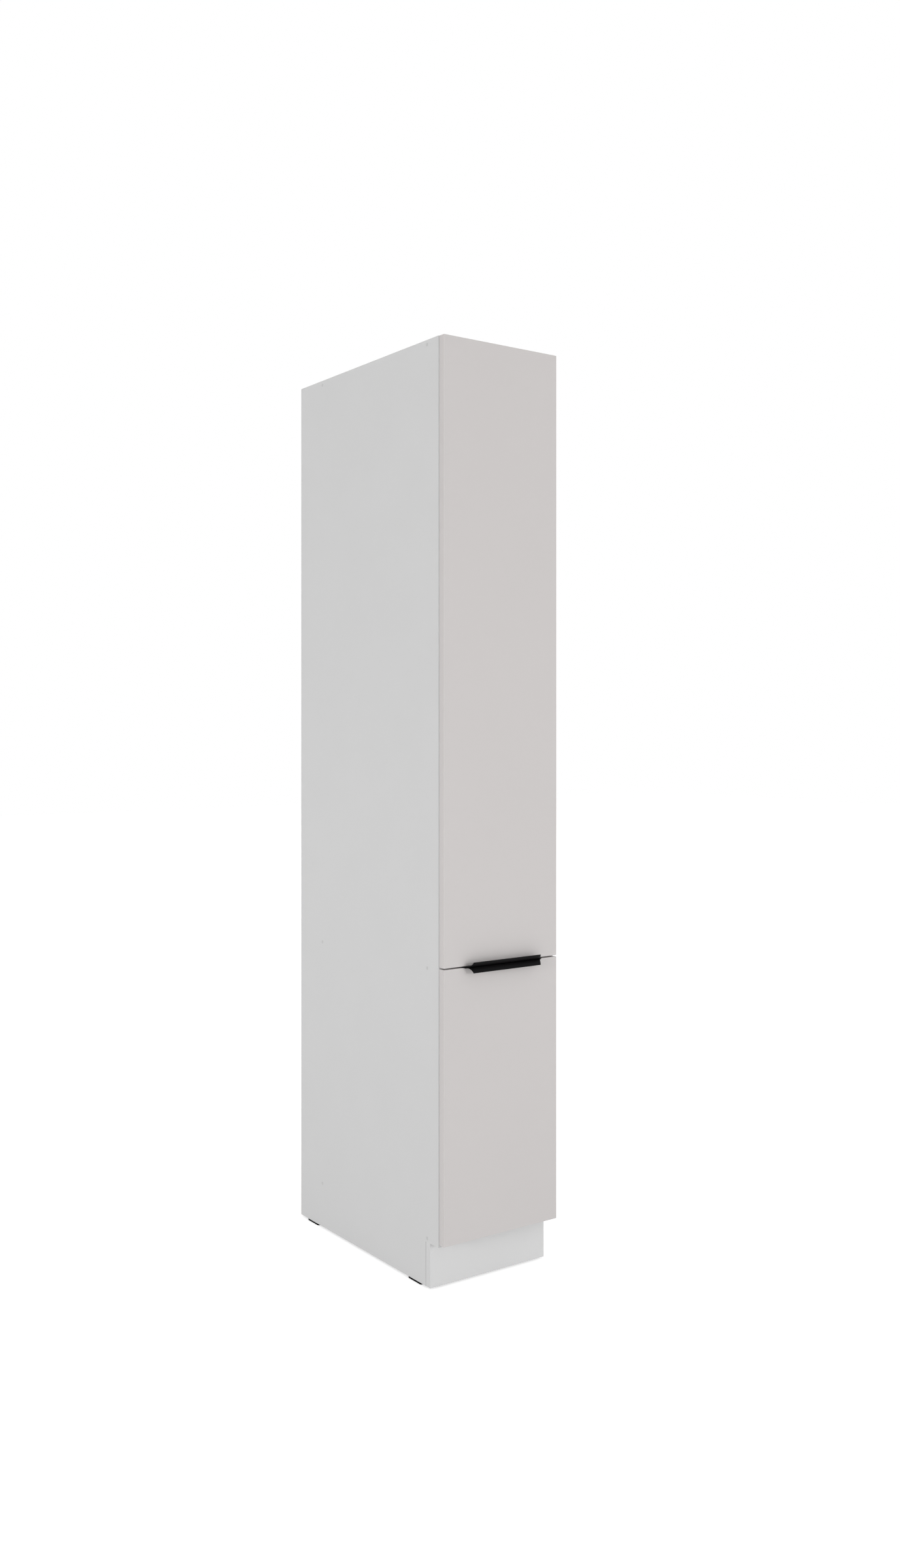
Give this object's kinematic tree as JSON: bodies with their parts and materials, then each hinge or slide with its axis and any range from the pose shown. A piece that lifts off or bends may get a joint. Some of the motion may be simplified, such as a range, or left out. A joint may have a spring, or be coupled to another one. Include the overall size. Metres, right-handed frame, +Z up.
{
  "type": "pull out larder unit",
  "caption": "Tall narrow kitchen cabinet with an upper and a lower pull-out, each front carrying railed trays on full-extension runners.",
  "frame": {"origin": "on the floor, under the middle of the cabinet's bounding box", "axes": "+Z up, +X to the right seen from the front, the fronts face -Y"},
  "size_m": [0.3, 0.6036, 1.956],
  "materials": {
    "carcass_board": "melamine-faced chipboard, pale grey, fine satin",
    "plinth_board": "melamine-faced chipboard, pale grey, fine satin",
    "block_plastic": "moulded plastic",
    "back_sheet": "lacquered hardboard",
    "front_board": "satin lacquer on board, warm pale grey",
    "handle_metal": "matt black powder coat",
    "glide_plastic": "black moulded plastic",
    "cap_plastic": "pale grey moulded plastic",
    "dowel_wood": "fluted beech",
    "screw_steel": "zinc plate",
    "runner_steel": "zinc plate",
    "frame_metal": "fine-textured powder coat, mid grey",
    "tray_board": "melamine-faced board, off-white",
    "chrome_rail": "polished chrome plate"
  },
  "bodies": {
    "carcass": {"side_left": "carcass_board", "side_right": "carcass_board", "top_panel": "carcass_board", "mid_shelf": "carcass_board", "bottom_panel": "carcass_board", "back_sheet": "back_sheet", "rear_rail": "carcass_board", "plinth_board": "plinth_board", "plinth_blocks": "block_plastic", "glides": "glide_plastic", "carcass_screws": "screw_steel", "screw_caps": "cap_plastic", "rail_dowels": "dowel_wood", "upper_runner_base": "runner_steel", "upper_guide_base": "runner_steel", "lower_slide_base_left": "runner_steel", "lower_slide_base_right": "runner_steel", "runner_screws": "screw_steel"},
    "upper_runner_mid": {"upper_runner_mid": "runner_steel"},
    "upper_guide_mid": {"upper_guide_mid": "runner_steel"},
    "lower_slide_mid_left": {"lower_slide_mid_left": "runner_steel"},
    "lower_slide_mid_right": {"lower_slide_mid_right": "runner_steel"},
    "upper_pullout": {"front_upper": "front_board", "handle_upper": "handle_metal", "upper_handle_screws": "handle_metal", "upper_brackets": "frame_metal", "upper_front_screws": "screw_steel", "upper_runner_top": "runner_steel", "upper_guide_top": "runner_steel", "upper_beam_bottom": "frame_metal", "upper_beam_top": "frame_metal", "upper_post_front": "frame_metal", "upper_post_rear": "frame_metal", "upper_tray_hooks": "frame_metal", "upper_tray_1": "tray_board", "upper_tray_2": "tray_board", "upper_tray_3": "tray_board", "upper_tray_4": "tray_board", "upper_gallery_1": "chrome_rail", "upper_gallery_2": "chrome_rail", "upper_gallery_3": "chrome_rail", "upper_gallery_4": "chrome_rail"},
    "lower_pullout": {"front_lower": "front_board", "handle_lower": "handle_metal", "lower_handle_screws": "handle_metal", "lower_brackets": "frame_metal", "lower_front_screws": "screw_steel", "lower_slide_top_left": "runner_steel", "lower_slide_top_right": "runner_steel", "lower_deck": "frame_metal", "lower_post_front": "frame_metal", "lower_post_rear": "frame_metal", "lower_tray_hooks": "frame_metal", "lower_tray_1": "tray_board", "lower_tray_2": "tray_board", "lower_gallery_1": "chrome_rail", "lower_gallery_2": "chrome_rail"}
  },
  "joints": [
    {"name": "upper_slide", "type": "slide", "parent": "carcass", "child": "upper_pullout", "axis": [0, -1, 0], "range_m": [0, 0.47]},
    {"name": "upper_runner_mid_slide", "type": "slide", "parent": "carcass", "child": "upper_runner_mid", "axis": [0, -1, 0], "range_m": [0, 0.235]},
    {"name": "upper_guide_mid_slide", "type": "slide", "parent": "carcass", "child": "upper_guide_mid", "axis": [0, -1, 0], "range_m": [0, 0.235]},
    {"name": "lower_slide", "type": "slide", "parent": "carcass", "child": "lower_pullout", "axis": [0, -1, 0], "range_m": [0, 0.47]},
    {"name": "lower_left_mid_slide", "type": "slide", "parent": "carcass", "child": "lower_slide_mid_left", "axis": [0, -1, 0], "range_m": [0, 0.235]},
    {"name": "lower_right_mid_slide", "type": "slide", "parent": "carcass", "child": "lower_slide_mid_right", "axis": [0, -1, 0], "range_m": [0, 0.235]}
  ],
  "couplings": [
    {"joint": "upper_runner_mid_slide", "follows": "upper_slide", "ratio": 0.5},
    {"joint": "upper_guide_mid_slide", "follows": "upper_slide", "ratio": 0.5},
    {"joint": "lower_left_mid_slide", "follows": "lower_slide", "ratio": 0.5},
    {"joint": "lower_right_mid_slide", "follows": "lower_slide", "ratio": 0.5}
  ]
}
